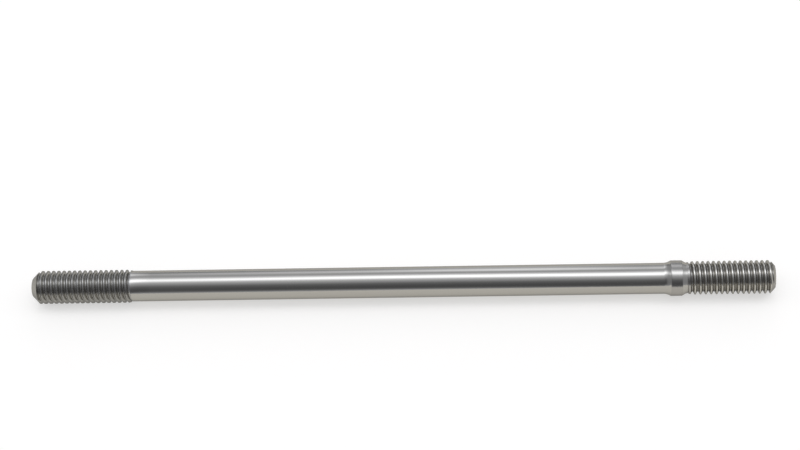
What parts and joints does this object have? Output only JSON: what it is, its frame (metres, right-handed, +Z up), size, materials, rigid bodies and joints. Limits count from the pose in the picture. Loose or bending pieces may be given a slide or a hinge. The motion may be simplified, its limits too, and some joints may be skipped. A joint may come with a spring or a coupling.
{
  "type": "double ended stud",
  "caption": "Slim steel stud with a right-hand thread on each end, a plain shank between them, and a collar behind the short thread that screws into a casting.",
  "frame": {"origin": "middle of the stud's length, under its axis, on the surface that the collar lies on", "axes": "+X along the stud towards the case end, +Y to the far side as the picture shows it, +Z up"},
  "size_m": [0.174, 0.0082, 0.0083],
  "materials": {
    "stud_steel": "ground shank and collar, bright, with oiled and slightly darker rolled threads"
  },
  "bodies": {
    "root": {"stud": "stud_steel"}
  },
  "joints": []
}
